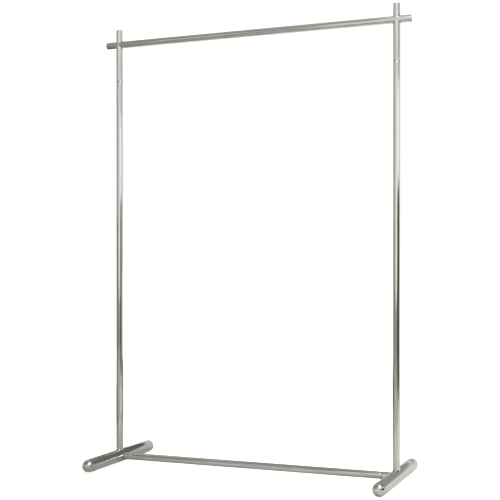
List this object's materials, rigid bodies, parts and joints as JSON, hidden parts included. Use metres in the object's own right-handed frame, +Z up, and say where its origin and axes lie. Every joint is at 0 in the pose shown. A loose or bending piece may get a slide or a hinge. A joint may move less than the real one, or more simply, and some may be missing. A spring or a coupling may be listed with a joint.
{
  "type": "valet stand",
  "caption": "Free-standing clothes rail of round polished steel tube: a hanging rail across two posts on capsule-shaped feet, with a low crossbar.",
  "frame": {"origin": "on the floor, under the middle of the rail and halfway between the two feet", "axes": "+Z up, +X along the rail to the right, -Y is the front"},
  "size_m": [1.15, 0.49, 1.602],
  "materials": {
    "polished_steel": "stainless steel, polished to a soft shine",
    "machined_steel": "turned steel",
    "dark_rubber": "matte"
  },
  "bodies": {
    "lower_frame": {"upright_left": "polished_steel", "upright_right": "polished_steel", "upright_joiner_left": "machined_steel", "upright_joiner_right": "machined_steel", "foot_tube_left": "polished_steel", "foot_tube_right": "polished_steel", "foot_dome_left_front": "polished_steel", "foot_dome_left_rear": "polished_steel", "foot_dome_right_front": "polished_steel", "foot_dome_right_rear": "polished_steel", "foot_glide_left_front": "dark_rubber", "foot_glide_left_rear": "dark_rubber", "foot_glide_right_front": "dark_rubber", "foot_glide_right_rear": "dark_rubber", "crossbar_stub_left": "polished_steel", "crossbar_stub_right": "polished_steel", "crossbar_joiner_left": "machined_steel", "crossbar_joiner_right": "machined_steel", "crossbar": "polished_steel"},
    "top_frame": {"top_rail": "polished_steel", "rail_end_cap_left": "polished_steel", "rail_end_cap_right": "polished_steel", "post_top_left": "polished_steel", "post_top_right": "polished_steel", "post_top_cap_left": "polished_steel", "post_top_cap_right": "polished_steel", "post_head_left": "polished_steel", "post_head_right": "polished_steel"}
  },
  "joints": [
    {"name": "top_frame_lift", "type": "slide", "parent": "lower_frame", "child": "top_frame", "axis": [0, 0, 1], "range_m": [0, 0.075]}
  ]
}
